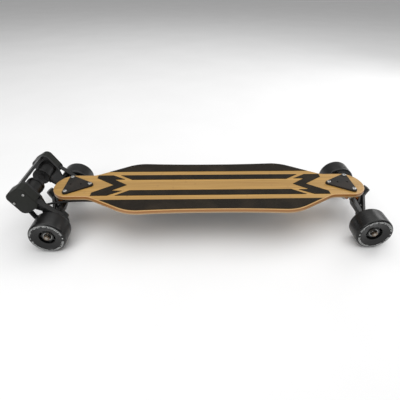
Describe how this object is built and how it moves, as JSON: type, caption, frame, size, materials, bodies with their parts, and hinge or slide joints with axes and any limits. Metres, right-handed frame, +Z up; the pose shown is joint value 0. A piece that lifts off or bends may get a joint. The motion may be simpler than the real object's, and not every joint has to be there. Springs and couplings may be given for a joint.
{
  "type": "electric skateboard",
  "caption": "Battery longboard: bamboo deck with black grip stripes on steering double-kingpin trucks, black wheels and a rear twin belt drive with covers.",
  "frame": {"origin": "on the ground below the middle of the bounding box", "axes": "+X towards the nose, +Y to the rider's left, +Z up"},
  "size_m": [0.9444, 0.296, 0.1563],
  "materials": {
    "bamboo": "satin lacquer over fine lengthwise grain",
    "grip": "coarse black grit",
    "bushing_urethane": "semi-gloss orange urethane",
    "wheel_urethane": "semi-gloss black urethane with a pale printed ring",
    "core_plastic": "moulded satin black",
    "steel": "bright zinc",
    "rotor_steel": "ground",
    "motor_can": "black anodised",
    "pulley_black": "black anodised",
    "belt_rubber": "matte with a fabric back",
    "cover_black": "fine matte texture",
    "cell_sleeve": "shrink sleeve on a metal can",
    "controller_case": "bead blasted",
    "circuit_board": "solder mask",
    "enclosure_black": "fine moulded grain",
    "small_plastic": "moulded",
    "black_rubber": "matte",
    "black_metal": "satin black powder coat"
  },
  "bodies": {
    "deck": {"deck": "bamboo", "grip_tape": "grip", "grip_chevrons": "grip", "truck_bolts": "steel", "front_top_plate": "black_metal", "rear_top_plate": "black_metal", "front_baseplate": "black_metal", "rear_baseplate": "black_metal", "inner_kingpins": "steel", "inner_bushings": "bushing_urethane", "enclosure": "enclosure_black", "enclosure_gasket": "black_rubber", "enclosure_screws": "steel", "battery_cells": "cell_sleeve", "speed_controller": "controller_case", "management_board": "circuit_board", "charge_port": "small_plastic"},
    "front_link": {"front_link": "black_metal"},
    "rear_link": {"rear_link": "black_metal", "motor_cables": "black_rubber"},
    "front_hanger": {"front_hanger": "black_metal", "front_outer_kingpin": "steel", "front_outer_bushing": "bushing_urethane", "front_axle": "steel", "front_axle_nuts": "steel"},
    "rear_hanger": {"rear_hanger": "black_metal", "rear_outer_kingpin": "steel", "rear_outer_bushing": "bushing_urethane", "rear_axle": "steel", "rear_axle_nuts": "steel", "left_motor_mount": "black_metal", "right_motor_mount": "black_metal", "left_belt_cover": "cover_black", "right_belt_cover": "cover_black", "left_belt": "belt_rubber", "right_belt": "belt_rubber", "left_motor_housing": "motor_can", "right_motor_housing": "motor_can", "brace_bar": "black_metal", "drive_screws": "steel"},
    "left_rotor": {"left_rotor": "rotor_steel", "left_motor_pulley": "pulley_black"},
    "right_rotor": {"right_rotor": "rotor_steel", "right_motor_pulley": "pulley_black"},
    "power_button": {"power_button": "small_plastic"},
    "charge_cap": {"charge_cap": "small_plastic"},
    "front_left_wheel": {"front_left_tyre": "wheel_urethane", "front_left_core": "core_plastic", "front_left_bearings": "steel"},
    "front_right_wheel": {"front_right_tyre": "wheel_urethane", "front_right_core": "core_plastic", "front_right_bearings": "steel"},
    "rear_left_wheel": {"rear_left_tyre": "wheel_urethane", "rear_left_core": "core_plastic", "rear_left_bearings": "steel", "left_wheel_pulley": "pulley_black"},
    "rear_right_wheel": {"rear_right_tyre": "wheel_urethane", "rear_right_core": "core_plastic", "rear_right_bearings": "steel", "right_wheel_pulley": "pulley_black"}
  },
  "joints": [
    {"name": "front_inner_pivot", "type": "hinge", "parent": "deck", "child": "front_link", "pos_m": [0.40344, 0, 0.06163], "axis": [0.5736, 0, 0.8192], "range_deg": [-10, 10], "stiffness_Nm_per_rad": 12},
    {"name": "front_outer_pivot", "type": "hinge", "parent": "front_link", "child": "front_hanger", "pos_m": [0.42965, 0, 0.04328], "axis": [0.5736, 0, 0.8192], "range_deg": [-10, 10], "stiffness_Nm_per_rad": 12},
    {"name": "front_left_wheel_spin", "type": "hinge", "parent": "front_hanger", "child": "front_left_wheel", "pos_m": [0.42719, 0.122, 0.045], "axis": [0, 1, 0], "continuous": true},
    {"name": "front_right_wheel_spin", "type": "hinge", "parent": "front_hanger", "child": "front_right_wheel", "pos_m": [0.42719, -0.122, 0.045], "axis": [0, 1, 0], "continuous": true},
    {"name": "rear_inner_pivot", "type": "hinge", "parent": "deck", "child": "rear_link", "pos_m": [-0.35705, 0, 0.06163], "axis": [-0.5736, 0, 0.8192], "range_deg": [-10, 10], "stiffness_Nm_per_rad": 12, "deforming": ["motor_cables"]},
    {"name": "rear_outer_pivot", "type": "hinge", "parent": "rear_link", "child": "rear_hanger", "pos_m": [-0.38326, 0, 0.04328], "axis": [-0.5736, 0, 0.8192], "range_deg": [-10, 10], "stiffness_Nm_per_rad": 12},
    {"name": "rear_left_wheel_spin", "type": "hinge", "parent": "rear_hanger", "child": "rear_left_wheel", "pos_m": [-0.38081, 0.122, 0.045], "axis": [0, 1, 0], "continuous": true},
    {"name": "rear_right_wheel_spin", "type": "hinge", "parent": "rear_hanger", "child": "rear_right_wheel", "pos_m": [-0.38081, -0.122, 0.045], "axis": [0, 1, 0], "continuous": true},
    {"name": "left_rotor_spin", "type": "hinge", "parent": "rear_hanger", "child": "left_rotor", "pos_m": [-0.43444, 0.06, 0.11829], "axis": [0, 1, 0], "continuous": true},
    {"name": "right_rotor_spin", "type": "hinge", "parent": "rear_hanger", "child": "right_rotor", "pos_m": [-0.43444, -0.06, 0.11829], "axis": [0, 1, 0], "continuous": true},
    {"name": "power_button_press", "type": "slide", "parent": "deck", "child": "power_button", "axis": [0, 1, 0], "range_m": [0, 0.0012], "stiffness_N_per_m": 800},
    {"name": "charge_cap_hinge", "type": "hinge", "parent": "deck", "child": "charge_cap", "pos_m": [-0.14731, 0.0757, 0.077], "axis": [0, 0, 1], "range_deg": [0, 110]}
  ],
  "couplings": [
    {"joint": "front_outer_pivot", "follows": "front_inner_pivot", "ratio": 1},
    {"joint": "rear_outer_pivot", "follows": "rear_inner_pivot", "ratio": 1},
    {"joint": "left_rotor_spin", "follows": "rear_left_wheel_spin", "ratio": 2.3529},
    {"joint": "right_rotor_spin", "follows": "rear_right_wheel_spin", "ratio": 2.3529}
  ]
}
